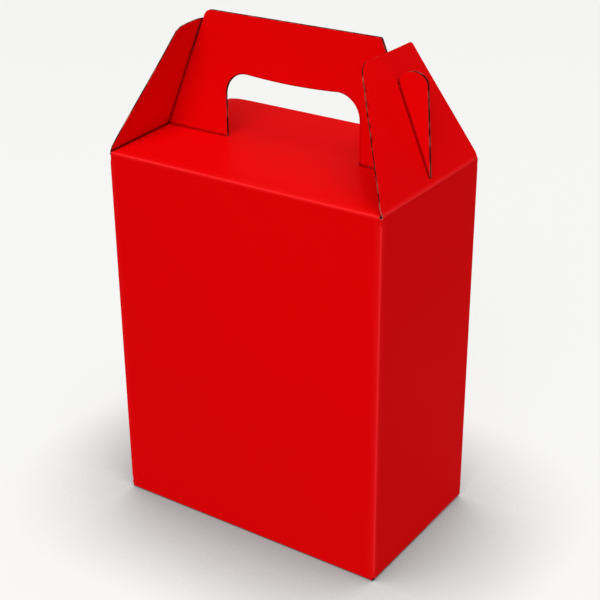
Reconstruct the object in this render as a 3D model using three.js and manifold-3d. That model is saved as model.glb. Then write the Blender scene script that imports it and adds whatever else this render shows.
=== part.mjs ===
// A briefcase favour box: one die-cut sheet of red card, folded and glued into a
// tall sleeve with a flat roof, a twin-leaf carrying handle that rises from the
// middle of the roof, and two end flaps that lean on the handle and are held by
// the ears of its leaves, which hook through a slit in each flap.
//
// Millimetres, +Z up. The origin is the middle of the bottom, the front faces -Y
// and the handle runs along X.

import * as THREE from "three";
import { mergeVertices } from "three/addons/utils/BufferGeometryUtils.js";
import Module from "manifold-3d";

const wasm = await Module();
wasm.setup();

const degrees = THREE.MathUtils.degToRad;

// Card and its folds
const cardThickness = 0.45;
const foldRadius = 0.8; // outside of every fold
const foldSteps = 4; // facets round a fold
const curveSteps = 8; // facets along a rounded corner

// Body
const bodyWidth = 120;
const bodyDepth = 70;
const bodyHeight = 150; // up to the creases of the roof and the end flaps

// Air between pieces of card
const leafGap = 0.4; // between the two leaves of the handle
const layerGap = 0.3; // between layers that lie on each other unglued
const edgeGap = 0.3; // beside a cut edge
const creaseGap = 0.15; // under an end flap, at its crease
const seatClearance = 0.3; // between an end flap and the handle's edge
const slitClearance = 0.25; // on each side of an ear in its slit
const swingClearance = 0.3; // beyond an ear, as its flap swings over it
const glueBite = 0.05; // depth to which glued layers share card
const tongueStep = 0.1; // of the tongue's surface, below the roof that it leaves

// Roof and handle
const roofRise = 1.9; // of the front half, from its crease to the handle
const handleHeight = 50; // above the roof's creases
const handleCornerRadius = 3.2;
const handHoleWidth = 59.6;
const handHoleHeight = 28; // its top, above the roof's creases
const handHoleRadius = 9.2;
const handHoleSag = 0.8; // of its top edge at the middle

// Ears at the ends of each handle leaf
const earInset = 0.8; // from the end wall's plane, at crease level
const earTaper = degrees(3.8);
const earShoulderHeight = 35.6; // above the creases, where the arched top starts
const earArchHeight = 4.5;
const earNotchDepth = 2; // below the shoulder, between ear and handle
const earFootRadius = 2.5;

// End flaps
const flapLean = degrees(22.7); // inward from upright
const flapLength = 49.3;
const flapBaseWidth = 68.4;
const flapTopWidth = 33;
const flapShoulder = 2.5; // straight stretch beside the crease
const flapFrontRadius = 5;
const flapBackRadius = 2;
const slitStart = 1.2; // from the crease

// Glue seam inside the back left corner
const seamTabWidth = 12;
const seamTabChamfer = 8;
const seamSetback = 0.3; // of the back wall's free edge from the corner

// Crash-lock bottom
const bottomLap = 8; // each long flap's reach past the middle
const bottomHookWidth = 8; // of the slanted step between the two laps
const sideFlapReach = 38;
const sideFlapShortEdge = 30;
const sideFlapTaper = 4;
const glueTabWidth = 14;

// Values worked out from the above
const halfWidth = bodyWidth / 2;
const halfDepth = bodyDepth / 2;
const wallWidth = bodyWidth - 2 * foldRadius; // flat part of the front and back
const backRise = roofRise - tongueStep - cardThickness - layerGap;
const leafOffset = (leafGap + cardThickness) / 2; // middle of a leaf from y = 0
const foldZone = leafOffset + foldRadius; // half the strip that holds the handle's folds
const cardAcrossLean = cardThickness / Math.cos(flapLean);
const seatAcrossLean = seatClearance / Math.cos(flapLean);
const sideFlapLevel = 2 * cardThickness; // underside of the bottom's inner layer

// The three ways in which a flat outline is placed: its own x and y become the
// first two axes, and it is extruded along the third.
const PLAN = new THREE.Matrix4();
const FRONT = new THREE.Matrix4().makeBasis(
  new THREE.Vector3(1, 0, 0),
  new THREE.Vector3(0, 0, 1),
  new THREE.Vector3(0, -1, 0),
);
const SIDE = new THREE.Matrix4().makeBasis(
  new THREE.Vector3(0, 1, 0),
  new THREE.Vector3(0, 0, 1),
  new THREE.Vector3(1, 0, 0),
);

// A closed geometry as a manifold-3d solid.
function solidOf(geometry) {
  geometry.deleteAttribute("normal");
  geometry.deleteAttribute("uv");
  const merged = mergeVertices(geometry, 1e-5);
  return new wasm.Manifold(
    new wasm.Mesh({
      numProp: 3,
      vertProperties: merged.attributes.position.array,
      triVerts: new Uint32Array(merged.index.array),
    }),
  );
}

// A manifold-3d solid as a geometry.
function geometryOf(solid) {
  const mesh = solid.getMesh();
  const geometry = new THREE.BufferGeometry();
  geometry.setAttribute(
    "position",
    new THREE.BufferAttribute(mesh.vertProperties, 3),
  );
  geometry.setIndex(new THREE.BufferAttribute(mesh.triVerts, 1));
  return geometry;
}

// An outline extruded from one level to another along the third axis of its frame.
function prism(shape, frame, from, to) {
  const geometry = new THREE.ExtrudeGeometry(shape, {
    depth: to - from,
    bevelEnabled: false,
    curveSegments: curveSteps,
  });
  geometry.translate(0, 0, from);
  geometry.applyMatrix4(frame);
  return solidOf(geometry);
}

// A straight-edged outline through the given points.
function polygon(points) {
  return new THREE.Shape(points.map(([x, y]) => new THREE.Vector2(x, y)));
}

// The section of a folded sheet: a band one card thick along a path of points on
// its middle line, with an arc at every fold.
function foldedSection(points) {
  const path = points.map(([x, y]) => new THREE.Vector2(x, y));
  const middle = foldRadius - cardThickness / 2;
  const stations = [];
  const headings = path
    .slice(1)
    .map((point, i) => point.clone().sub(path[i]).normalize());
  stations.push([path[0], headings[0]]);
  for (let i = 1; i < path.length - 1; i++) {
    const before = headings[i - 1];
    const after = headings[i];
    const turn = Math.atan2(before.cross(after), before.dot(after));
    const setback = middle * Math.tan(Math.abs(turn) / 2);
    const start = path[i].clone().addScaledVector(before, -setback);
    const side = Math.sign(turn) || 1;
    const centre = start
      .clone()
      .add(new THREE.Vector2(-before.y, before.x).multiplyScalar(side * middle));
    for (let k = 0; k <= foldSteps; k++) {
      const angle = (turn * k) / foldSteps;
      stations.push([
        start.clone().rotateAround(centre, angle),
        before.clone().rotateAround(new THREE.Vector2(), angle),
      ]);
    }
  }
  stations.push([path.at(-1), headings.at(-1)]);
  const edge = (offset) =>
    stations.map(([point, heading]) =>
      point
        .clone()
        .add(new THREE.Vector2(-heading.y, heading.x).multiplyScalar(offset)),
    );
  return new THREE.Shape([
    ...edge(-cardThickness / 2),
    ...edge(cardThickness / 2).reverse(),
  ]);
}

// The x of the handle's slanted edge at a height above the creases: it follows the
// inner face of the leaning flap.
function handleEdge(height) {
  return (
    halfWidth - cardAcrossLean - seatAcrossLean - height * Math.tan(flapLean)
  );
}

// The x of an ear's outer edge at a height above the creases.
function earEdge(height) {
  return halfWidth - earInset - height * Math.tan(earTaper);
}

// The x at which an ear's arched top starts, just outside the leaning flap.
function earInnerEdge() {
  return (
    halfWidth - earShoulderHeight * Math.tan(flapLean) + seatAcrossLean
  );
}

// Half of an ear's arched top: its middle and its radius across.
function earArch() {
  const outer = earEdge(earShoulderHeight);
  const inner = earInnerEdge();
  return { middle: (outer + inner) / 2, radius: (outer - inner) / 2 };
}

// The ear's greatest distance from the flap's crease, which the slit has to pass.
function earReach() {
  const { middle, radius } = earArch();
  const arch = new THREE.EllipseCurve(
    halfWidth - middle,
    earShoulderHeight,
    radius,
    earArchHeight,
    0,
    Math.PI,
  );
  return Math.max(...arch.getPoints(60).map((point) => point.length()));
}

// Draws the right-hand end of a handle leaf, from its root in the roof's fold up
// to the top edge, or the same end mirrored and drawn from the top down.
function traceLeafEnd(shape, root, foldHeight, mirrored) {
  const side = mirrored ? -1 : 1;
  const lift = foldHeight + foldRadius - bodyHeight;
  const footTop = lift + earFootRadius;
  const footX = earEdge(footTop) - earFootRadius;
  const { middle, radius } = earArch();
  const notchHeight = earShoulderHeight - earNotchDepth;
  const corner = new THREE.Path();
  corner.moveTo(footX, root - bodyHeight);
  corner.lineTo(footX, lift);
  corner.absarc(footX, footTop, earFootRadius, -Math.PI / 2, 0, false);
  corner.lineTo(earEdge(earShoulderHeight), earShoulderHeight);
  corner.absellipse(
    middle,
    earShoulderHeight,
    radius,
    earArchHeight,
    0,
    Math.PI,
    false,
    0,
  );
  corner.lineTo(earInnerEdge(), notchHeight);
  corner.lineTo(handleEdge(notchHeight), notchHeight);
  const setback = handleCornerRadius * Math.tan((Math.PI / 2 - flapLean) / 2);
  const topX = handleEdge(handleHeight);
  corner.lineTo(
    topX + setback * Math.sin(flapLean),
    handleHeight - setback * Math.cos(flapLean),
  );
  corner.absarc(
    topX - setback,
    handleHeight - handleCornerRadius,
    handleCornerRadius,
    Math.PI / 2 - (Math.PI / 2 - flapLean),
    Math.PI / 2,
    false,
  );
  const points = corner.getPoints(curveSteps);
  if (mirrored) points.reverse();
  for (const point of points) shape.push([side * point.x, bodyHeight + point.y]);
}

// The hand hole's outline as points from its bottom left, over the top, to its
// bottom right. The same outline, laid flat, is the tongue that was cut from it.
function handHole(width, bottom, top) {
  const half = width / 2;
  const path = new THREE.Path();
  path.moveTo(-half, bottom);
  path.lineTo(-half, top - handHoleRadius);
  path.absarc(
    -half + handHoleRadius,
    top - handHoleRadius,
    handHoleRadius,
    Math.PI,
    Math.PI / 2,
    true,
  );
  path.quadraticCurveTo(0, top - 2 * handHoleSag, half - handHoleRadius, top);
  path.absarc(
    half - handHoleRadius,
    top - handHoleRadius,
    handHoleRadius,
    Math.PI / 2,
    0,
    true,
  );
  path.lineTo(half, bottom);
  return path.getPoints(curveSteps).map((point) => [point.x, point.y]);
}

// The outline of one handle leaf in the XZ plane, with its two ears and the hand
// hole, which is open towards the roof.
function leafOutline(foldHeight) {
  const root = bodyHeight - foldRadius;
  const outline = [];
  traceLeafEnd(outline, root, foldHeight, false);
  traceLeafEnd(outline, root, foldHeight, true);
  outline.push(...handHole(handHoleWidth, root, bodyHeight + handHoleHeight));
  return polygon(outline);
}

// The outline of one half of the roof, from its crease to the handle's fold. Its
// side edges draw in where the leaning flaps come over them.
function roofOutline() {
  const crease = wallWidth / 2 - edgeGap;
  const centre =
    halfWidth - cardAcrossLean - seatAcrossLean - roofRise * Math.tan(flapLean);
  return polygon([
    [-crease, -halfDepth - foldRadius],
    [crease, -halfDepth - foldRadius],
    [centre, -foldZone + edgeGap],
    [-centre, -foldZone + edgeGap],
  ]);
}

// The outline of a long bottom flap. One end is the slanted fold of its glue tab,
// and the other laps past the middle of the bottom.
function longFlapOutline() {
  const end = wallWidth / 2;
  const lap = bottomLap - edgeGap / 2;
  const hook = bottomHookWidth / 2;
  return polygon([
    [-end, -halfDepth - foldRadius],
    [end, -halfDepth - foldRadius],
    [end, lap],
    [hook - edgeGap / 2, lap],
    [-hook + edgeGap / 2, -bottomLap - edgeGap / 2],
    [-end + halfDepth - bottomLap, -bottomLap - edgeGap / 2],
    [-end, -halfDepth],
  ]);
}

// The outline of the glue tab that is folded back on a long flap, along the
// slanted fold.
function glueTabOutline() {
  const end = wallWidth / 2;
  const reach = halfDepth - bottomLap - 2 * edgeGap;
  return polygon([
    [-end + 2 * glueBite, -halfDepth + cardThickness + edgeGap],
    [-end + 2 * glueBite + glueTabWidth, -halfDepth + cardThickness + edgeGap],
    [-end + reach, -halfDepth + reach - glueTabWidth / 2],
    [-end + reach, -halfDepth + reach],
  ]);
}

// The outline of the short bottom flap on the left, which lies on the glue tab.
function sideFlapOutline() {
  const inside = halfDepth - foldRadius;
  const wall = -halfWidth - foldRadius;
  const tip = -halfWidth + sideFlapReach;
  return polygon([
    [wall, -inside],
    [-halfWidth + foldRadius, -inside],
    [tip, -inside + sideFlapTaper],
    [tip, -inside + sideFlapShortEdge],
    [-halfWidth + sideFlapReach / 2, inside - sideFlapTaper],
    [-halfWidth + foldRadius, inside],
    [wall, inside],
  ]);
}

// One long side of the box: bottom flap, wall, half the roof and a handle leaf,
// folded from one strip and cut to their outlines. The front one is drawn, and
// the back one is this turned half a turn.
function longSide(rise) {
  const outside = -halfDepth + cardThickness / 2;
  const foldHeight = bodyHeight + rise;
  const strip = prism(
    foldedSection([
      [halfDepth, cardThickness / 2],
      [outside, cardThickness / 2],
      [outside, bodyHeight - cardThickness / 2],
      [-leafOffset, foldHeight - cardThickness / 2],
      [-leafOffset, bodyHeight + 2 * handleHeight],
    ]),
    SIDE,
    -halfWidth,
    halfWidth,
  );
  const wall = polygon([
    [-wallWidth / 2, foldRadius / 2],
    [wallWidth / 2, foldRadius / 2],
    [wallWidth / 2, bodyHeight - foldRadius / 2],
    [-wallWidth / 2, bodyHeight - foldRadius / 2],
  ]);
  const cut = prism(longFlapOutline(), PLAN, -foldRadius, foldRadius)
    .add(prism(wall, FRONT, halfDepth - 2 * foldRadius, halfDepth + foldRadius))
    .add(
      prism(
        roofOutline(),
        PLAN,
        bodyHeight - foldRadius,
        foldHeight + foldRadius,
      ),
    )
    .add(prism(leafOutline(foldHeight), FRONT, 0, foldZone));
  return strip.intersect(cut);
}

// The tongue cut from the hand hole. It stays on the front half of the roof and
// lies over the back half.
function tongue() {
  const level = bodyHeight + roofRise - tongueStep - cardThickness / 2;
  const length = handHoleHeight - roofRise;
  const slope = backRise / (halfDepth - leafOffset - cardThickness / 2);
  const run = halfDepth - leafOffset;
  const rootY = -foldZone - foldRadius;
  const rootDrop =
    (roofRise * (-rootY - leafOffset)) /
    (halfDepth - leafOffset - cardThickness / 2);
  const strip = prism(
    foldedSection([
      [rootY, level - rootDrop],
      [-leafOffset, level],
      [leafOffset, level],
      [leafOffset + run, level - slope * run],
    ]),
    SIDE,
    -halfWidth,
    halfWidth,
  );
  const outline = handHole(handHoleWidth - 2 * edgeGap, rootY, length);
  return strip.intersect(
    prism(
      polygon(outline),
      PLAN,
      bodyHeight - foldRadius,
      bodyHeight + roofRise + foldRadius,
    ),
  );
}

// A rectangle with rounded corners, as points.
function roundedRectangle(width, depth, radius) {
  const x = width / 2 - radius;
  const y = depth / 2 - radius;
  const path = new THREE.Path();
  path.absarc(x, y, radius, 0, Math.PI / 2, false);
  path.absarc(-x, y, radius, Math.PI / 2, Math.PI, false);
  path.absarc(-x, -y, radius, Math.PI, 1.5 * Math.PI, false);
  path.absarc(x, -y, radius, 1.5 * Math.PI, 2 * Math.PI, false);
  return path.getPoints(foldSteps).map((point) => [point.x, point.y]);
}

// The upright walls. The back wall's free edge lies over the seam tab, a little
// short of the back left corner.
function sleeve() {
  const section = polygon(roundedRectangle(bodyWidth, bodyDepth, foldRadius));
  section.holes.push(
    polygon(
      roundedRectangle(
        bodyWidth - 2 * cardThickness,
        bodyDepth - 2 * cardThickness,
        foldRadius - cardThickness,
      ),
    ),
  );
  const freeEdge = polygon([
    [-halfWidth - foldRadius, halfDepth - cardThickness],
    [-halfWidth + seamSetback, halfDepth - cardThickness],
    [-halfWidth + seamSetback, halfDepth + foldRadius],
    [-halfWidth - foldRadius, halfDepth + foldRadius],
  ]);
  return prism(
    section,
    PLAN,
    sideFlapLevel + foldRadius,
    bodyHeight - foldRadius,
  ).subtract(prism(freeEdge, PLAN, 0, bodyHeight));
}

// The seam tab that the left wall carries, glued inside the back wall.
function seamTab() {
  const wall = -halfWidth + cardThickness;
  const bottom = sideFlapLevel + 2 * foldRadius;
  const top = bodyHeight - 2 * foldRadius;
  const outline = polygon([
    [wall - glueBite, bottom],
    [wall + seamTabWidth, bottom + seamTabChamfer],
    [wall + seamTabWidth, top - seamTabChamfer],
    [wall - glueBite, top],
  ]);
  return prism(
    outline,
    FRONT,
    -halfDepth + cardThickness - glueBite,
    -halfDepth + 2 * cardThickness,
  );
}

// The top of the left wall, up to the crease of its end flap.
function wallTop() {
  const top = bodyHeight - cardThickness * Math.sin(flapLean) - 2 * creaseGap;
  const between = halfDepth - foldRadius;
  const section = polygon([
    [-halfWidth, bodyHeight - 2 * foldRadius],
    [-halfWidth + cardThickness, bodyHeight - 2 * foldRadius],
    [-halfWidth + cardThickness, top],
    [-halfWidth, top],
  ]);
  return prism(section, FRONT, -between, between);
}

// The short bottom flap that is folded in from the left wall.
function sideFlap() {
  const x = -halfWidth + cardThickness / 2;
  const level = sideFlapLevel + cardThickness / 2;
  const strip = prism(
    foldedSection([
      [x, level + 2 * foldRadius],
      [x, level],
      [0, level],
    ]),
    FRONT,
    -halfDepth,
    halfDepth,
  );
  const outline = prism(
    sideFlapOutline(),
    PLAN,
    0,
    sideFlapLevel + 3 * foldRadius,
  );
  return strip.intersect(outline);
}

// The glue tab between the front bottom flap and the left short flap.
function glueTab() {
  return prism(
    glueTabOutline(),
    PLAN,
    cardThickness - glueBite,
    2 * cardThickness + glueBite,
  );
}

// The whole folded and glued sheet, apart from its two end flaps.
function carton() {
  const parts = [sleeve(), seamTab(), longSide(roofRise), tongue()];
  const halfTurn = (solid) => solid.rotate([0, 0, 180]);
  parts.push(halfTurn(longSide(backRise)));
  for (const part of [wallTop(), sideFlap(), glueTab()])
    parts.push(part, halfTurn(part));
  return parts.reduce((whole, part) => whole.add(part));
}

// An end flap in its own frame: the crease is the y axis, z runs up the flap and
// the card lies inside x = 0. frontSign says which way the box's front is.
function endFlap(frontSign) {
  const base = flapBaseWidth / 2;
  const top = flapTopWidth / 2;
  const slope = Math.atan2(base - top, flapLength - flapShoulder);
  const corner = (radius, sign) => {
    const setback = radius * Math.tan((Math.PI / 2 - slope) / 2);
    const arc = new THREE.Path();
    arc.absarc(
      top - setback,
      flapLength - radius,
      radius,
      slope,
      Math.PI / 2,
      false,
    );
    return arc.getPoints(curveSteps).map((point) => [sign * point.x, point.y]);
  };
  const outline = polygon([
    [-base, creaseGap],
    [base, creaseGap],
    [base, flapShoulder],
    ...corner(frontSign > 0 ? flapFrontRadius : flapBackRadius, 1),
    ...corner(frontSign > 0 ? flapBackRadius : flapFrontRadius, -1).reverse(),
    [-base, flapShoulder],
  ]);
  const slitHalf = leafOffset + cardThickness / 2 + slitClearance;
  const slitEnd = earReach() + swingClearance;
  outline.holes.push(
    polygon([
      [-slitHalf, slitStart],
      [slitHalf, slitStart],
      [slitHalf, slitEnd - slitHalf],
      [slitHalf / 2, slitEnd],
      [-slitHalf / 2, slitEnd],
      [-slitHalf, slitEnd - slitHalf],
    ]),
  );
  return prism(outline, SIDE, -cardThickness, 0);
}

const card = new THREE.MeshStandardMaterial({
  color: 0xd3030a,
  roughness: 0.55,
  metalness: 0,
  flatShading: true,
});

function namedMesh(name, solid) {
  const mesh = new THREE.Mesh(geometryOf(solid), card);
  mesh.name = name;
  return mesh;
}

// A flap at its crease on one end wall, leaning in on the handle.
function placedFlap(name, side) {
  const flap = namedMesh(name, endFlap(-side));
  flap.rotation.y = -flapLean;
  const end = new THREE.Group();
  end.position.set(side * halfWidth, 0, bodyHeight);
  end.rotation.z = side > 0 ? 0 : Math.PI;
  end.add(flap);
  return end;
}

const box = new THREE.Group();
box.add(namedMesh("carton", carton()));
box.add(placedFlap("end_flap_right", 1));
box.add(placedFlap("end_flap_left", -1));

export default box;
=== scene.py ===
"""The dressed model of a briefcase favour box.

The box is one die-cut sheet of red card. The sheet is laid out flat as a blank,
with s along the walls and v up the panels, cut to its outlines, and then folded
by working out every point's place from its s and v. Lengths are in millimetres
until a mesh is written, and metres from there on.
"""

import logging
import math
from dataclasses import dataclass, field
from enum import Enum

import bpy
import numpy as np
from mathutils import Matrix, Vector
from mathutils.geometry import delaunay_2d_cdt


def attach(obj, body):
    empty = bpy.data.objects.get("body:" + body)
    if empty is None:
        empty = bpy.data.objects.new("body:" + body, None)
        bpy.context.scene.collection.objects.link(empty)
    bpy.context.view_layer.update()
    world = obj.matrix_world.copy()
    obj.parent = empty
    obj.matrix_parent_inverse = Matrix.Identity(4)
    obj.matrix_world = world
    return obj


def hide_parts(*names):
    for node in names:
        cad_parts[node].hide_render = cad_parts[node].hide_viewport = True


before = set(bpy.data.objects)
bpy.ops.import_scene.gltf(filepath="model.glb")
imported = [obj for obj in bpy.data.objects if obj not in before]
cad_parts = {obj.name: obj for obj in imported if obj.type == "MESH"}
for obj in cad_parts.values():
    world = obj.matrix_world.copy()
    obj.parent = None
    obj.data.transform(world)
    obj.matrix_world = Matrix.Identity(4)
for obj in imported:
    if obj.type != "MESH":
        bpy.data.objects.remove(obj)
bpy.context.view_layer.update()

LOG = logging.getLogger("favour_box")
MM = 0.001
TINY = 1e-3
NEAR = 1e-4
EMPTY_AREA = 1e-7
GRID_DECIMALS = 5
SHARE_DECIMALS = 6


class Panel(Enum):
    """The four walls, each with the turn that brings the front wall to it."""

    LEFT = -90.0
    FRONT = 0.0
    RIGHT = 90.0
    BACK = 180.0


@dataclass(frozen=True)
class Card:
    """The card that the box is folded from.

    Attributes:
        thickness: of the sheet.
        fold_radius: of the outside of a fold.
        fold_steps: rows of faces round a fold.
        pitch: distance between the points of a flat panel.
        painted_highlight: how far from a raised crease's middle a highlight is painted paler into
            the card's colour.
        painted_shade: how far from a hollow crease's middle shade is painted darker into the card's
            colour.
    """

    thickness: float = 0.45
    fold_radius: float = 0.8
    fold_steps: int = 6
    pitch: float = 4.0
    # Reach of the highlight painted paler along the raised creases.
    painted_highlight: float = 0.85
    # Reach of the shade painted darker along the hollow crease.
    painted_shade: float = 0.35

    @property
    def half(self) -> float:
        """Half the sheet's thickness."""
        return self.thickness / 2

    @property
    def middle_radius(self) -> float:
        """The radius of a fold at the sheet's middle."""
        return self.fold_radius - self.half


@dataclass(frozen=True)
class BoxSizes:
    """The sizes of the folded box, as its construction gives them."""

    width: float = 120.0
    depth: float = 70.0
    height: float = 150.0
    leaf_gap: float = 0.4
    roof_rise: float = 1.9
    back_rise: float = 1.05
    side_flap_level: float = 0.9
    flap_lean: float = math.radians(22.7)
    seam_tab: float = 12.0
    seam_edge: float = 0.1

    @property
    def half_width(self) -> float:
        """Half the box's width."""
        return self.width / 2

    @property
    def half_depth(self) -> float:
        """Half the box's depth."""
        return self.depth / 2


CARD = Card()
BOX = BoxSizes()
LEAF_OFFSET = (BOX.leaf_gap + CARD.thickness) / 2
TONGUE_ROOT = -2.6
BLANK_FOOT = -50.0
WALL_TOP = BOX.height - CARD.fold_radius
SIDE_WALL_FOOT = BOX.side_flap_level + CARD.fold_radius
PANEL_LAP = 1.0


def smooth_step(value: np.ndarray, low: float, high: float) -> np.ndarray:
    """Rises smoothly from 0 at low to 1 at high: 3t^2 - 2t^3 of the share t between them."""
    t = np.clip((np.asarray(value, float) - low) / (high - low), 0.0, 1.0)
    return t * t * (3.0 - 2.0 * t)


def arc(centre: tuple, radii: tuple, start: float, end: float, steps: int) -> np.ndarray:
    """Points of an ellipse: centre + (rx cos a, ry sin a), a from start to end degrees."""
    angle = np.radians(np.linspace(start, end, steps + 1))
    return centre + radii * np.column_stack([np.cos(angle), np.sin(angle)])


class FoldPath:
    """The middle line of a sheet folded round parallel creases.

    Straight runs are joined by arcs. The path is kept as a table of stations,
    each with its distance along the path, its place and its heading.
    """

    def __init__(self, corners: list, radii: list | None = None, side: int = 1) -> None:
        """Lays arcs into the corners of a path and measures it.

        Args:
            corners: the path's ends and the points where its runs would meet.
            radii: middle radius of each fold, or None for the card's own.
            side: 1 where the sheet's outer face is on the path's left, else -1.
        """
        self.side = side
        path = np.array(corners, float)
        runs = np.diff(path, axis=0)
        headings = np.unwrap(np.arctan2(runs[:, 1], runs[:, 0]))
        radii = radii or [CARD.middle_radius] * (len(path) - 2)
        places, angles = [path[:1]], [headings[:1]]
        self.folds = []
        for i, radius in enumerate(radii):
            turn = headings[i + 1] - headings[i]
            sign = np.sign(turn) or 1.0
            setback = radius * math.tan(abs(turn) / 2)
            start = path[i + 1] - setback * runs[i] / np.linalg.norm(runs[i])
            heading = headings[i] + turn * np.linspace(0, 1, CARD.fold_steps + 1)
            normal = np.column_stack([-np.sin(heading), np.cos(heading)])
            centre = start + sign * radius * normal[0]
            places.append(centre - sign * radius * normal)
            angles.append(heading)
            self.folds.append(sum(map(len, places)) - CARD.fold_steps - 1)
        places.append(path[-1:])
        angles.append(headings[-1:])
        self.place = np.concatenate(places)
        self.heading = np.concatenate(angles)
        steps = np.linalg.norm(np.diff(self.place, axis=0), axis=1)
        self.distance = np.concatenate([[0.0], np.cumsum(steps)])

    def matching(self, axis: int, value: float) -> "FoldPath":
        """Shifts the distances so that where a coordinate has this value, so do they."""
        self.distance = self.distance + value - self.at_level(axis, value)
        return self

    def at_level(self, axis: int, value: float, last: bool = False) -> float:
        """The distance at which a coordinate of the path passes a value.

        Args:
            axis: 0 or 1.
            value: the coordinate's value.
            last: whether the last passage is wanted rather than the first.

        Returns:
            The distance along the path.
        """
        level = self.place[:, axis] - value
        crossing = np.nonzero((level[:-1] * level[1:] <= 0) & (level[:-1] != level[1:]))[0]
        i = crossing[-1 if last else 0]
        share = level[i] / (level[i] - level[i + 1])
        return float(self.distance[i] + share * (self.distance[i + 1] - self.distance[i]))

    def fold_rows(self) -> np.ndarray:
        """The distances of the stations round the folds."""
        return self.distance[1:-1]

    def fold_middles(self) -> list:
        """The distance of each fold's middle."""
        middles = np.array(self.folds) + CARD.fold_steps / 2
        return np.interp(middles, np.arange(len(self.distance)), self.distance).tolist()

    def at(self, distance: np.ndarray) -> tuple:
        """Place and outward normal at distances along the path, read off its table.

        Args:
            distance: distances along the path.

        Returns:
            Places and unit normals, each with two columns.
        """
        x = np.interp(distance, self.distance, self.place[:, 0])
        y = np.interp(distance, self.distance, self.place[:, 1])
        heading = np.interp(distance, self.distance, self.heading)
        normal = np.column_stack([-np.sin(heading), np.cos(heading)]) * self.side
        return np.column_stack([x, y]), normal


def long_path(rise: float) -> FoldPath:
    """The section of a long side: bottom flap, wall, half the roof and a leaf.

    Args:
        rise: of the roof half from its crease to the handle.

    Returns:
        The path in the plane of local y and z, with v equal to z on the wall.
    """
    wall = -BOX.half_depth + CARD.half
    corners = [
        (BOX.half_depth, CARD.half),
        (wall, CARD.half),
        (wall, BOX.height - CARD.half),
        (-LEAF_OFFSET, BOX.height + rise - CARD.half),
        (-LEAF_OFFSET, 2 * BOX.height),
    ]
    return FoldPath(corners).matching(1, BOX.height / 2)


def end_path() -> FoldPath:
    """The section of an end: short bottom flap, wall and leaning end flap.

    Returns:
        The path in the plane of local y and z, with v equal to z on the wall.
    """
    wall = -BOX.half_width + CARD.half
    level = BOX.side_flap_level + CARD.half
    crease = BOX.height - CARD.half * math.tan(BOX.flap_lean / 2)
    reach = BOX.height
    corners = [
        (0.0, level),
        (wall, level),
        (wall, crease),
        (wall + reach * math.sin(BOX.flap_lean), crease + reach * math.cos(BOX.flap_lean)),
    ]
    radii = [CARD.middle_radius, 2 * CARD.middle_radius]
    return FoldPath(corners, radii).matching(1, BOX.height / 2)


def ring_path() -> FoldPath:
    """The plan of the walls, from the seam tab round to the back wall's free edge.

    Returns:
        The path in the plane of x and y, with s equal to x on the front wall.
    """
    x = BOX.half_width - CARD.half
    y = BOX.half_depth - CARD.half
    corners = [
        (-x + BOX.seam_tab, y - CARD.thickness),
        (-x, y - CARD.thickness),
        (-x, -y),
        (x, -y),
        (x, y),
        (-x + BOX.seam_edge, y),
    ]
    return FoldPath(corners, side=-1).matching(0, 0.0)


LONG_PATHS = {Panel.FRONT: long_path(BOX.roof_rise), Panel.BACK: long_path(BOX.back_rise)}
END_PATH = end_path()
RING = ring_path()
PANEL_MIDDLE = {
    Panel.LEFT: RING.at_level(1, 0.0),
    Panel.FRONT: 0.0,
    Panel.RIGHT: RING.at_level(1, 0.0, last=True),
    Panel.BACK: RING.at_level(0, 0.0, last=True),
}
FLAP_CREASE = END_PATH.fold_middles()[1]


def panel_path(panel: Panel) -> FoldPath:
    """The section that a panel is folded along."""
    return LONG_PATHS.get(panel, END_PATH)


def rectangle(left: float, right: float, low: float, high: float) -> list:
    """The four corners of an upright rectangle, counter-clockwise."""
    return [(left, low), (right, low), (right, high), (left, high)]


def turned(points: np.ndarray, degrees: float) -> np.ndarray:
    """Turns points about the upright axis: (x cos a - y sin a, x sin a + y cos a, z).

    Args:
        points: rows of x, y and z.
        degrees: the turn, counter-clockwise from above.

    Returns:
        The turned points.
    """
    cosine, sine = math.cos(math.radians(degrees)), math.sin(math.radians(degrees))
    x, y, z = points.T
    return np.column_stack([x * cosine - y * sine, x * sine + y * cosine, z])


def swept(path: FoldPath, along: np.ndarray, across: np.ndarray, degrees: float) -> tuple:
    """Points (across, PATH(along)) of a sheet folded to a section, turned to its side.

    Args:
        path: the section.
        along: distances along it.
        across: places across the sheet.
        degrees: the turn, counter-clockwise from above.

    Returns:
        The points and their normals.
    """
    place, normal = path.at(along)
    normals = np.column_stack([np.zeros_like(across), normal])
    return turned(np.column_stack([across, place]), degrees), turned(normals, degrees)


def linked(name: str, data: bpy.types.ID) -> bpy.types.Object:
    """Makes an object of a mesh, lamp or camera and adds it to the scene.

    Args:
        name: of the object.
        data: its mesh, lamp or camera.

    Returns:
        The object.
    """
    made = bpy.data.objects.new(name, data)
    bpy.context.scene.collection.objects.link(made)
    return made


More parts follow.
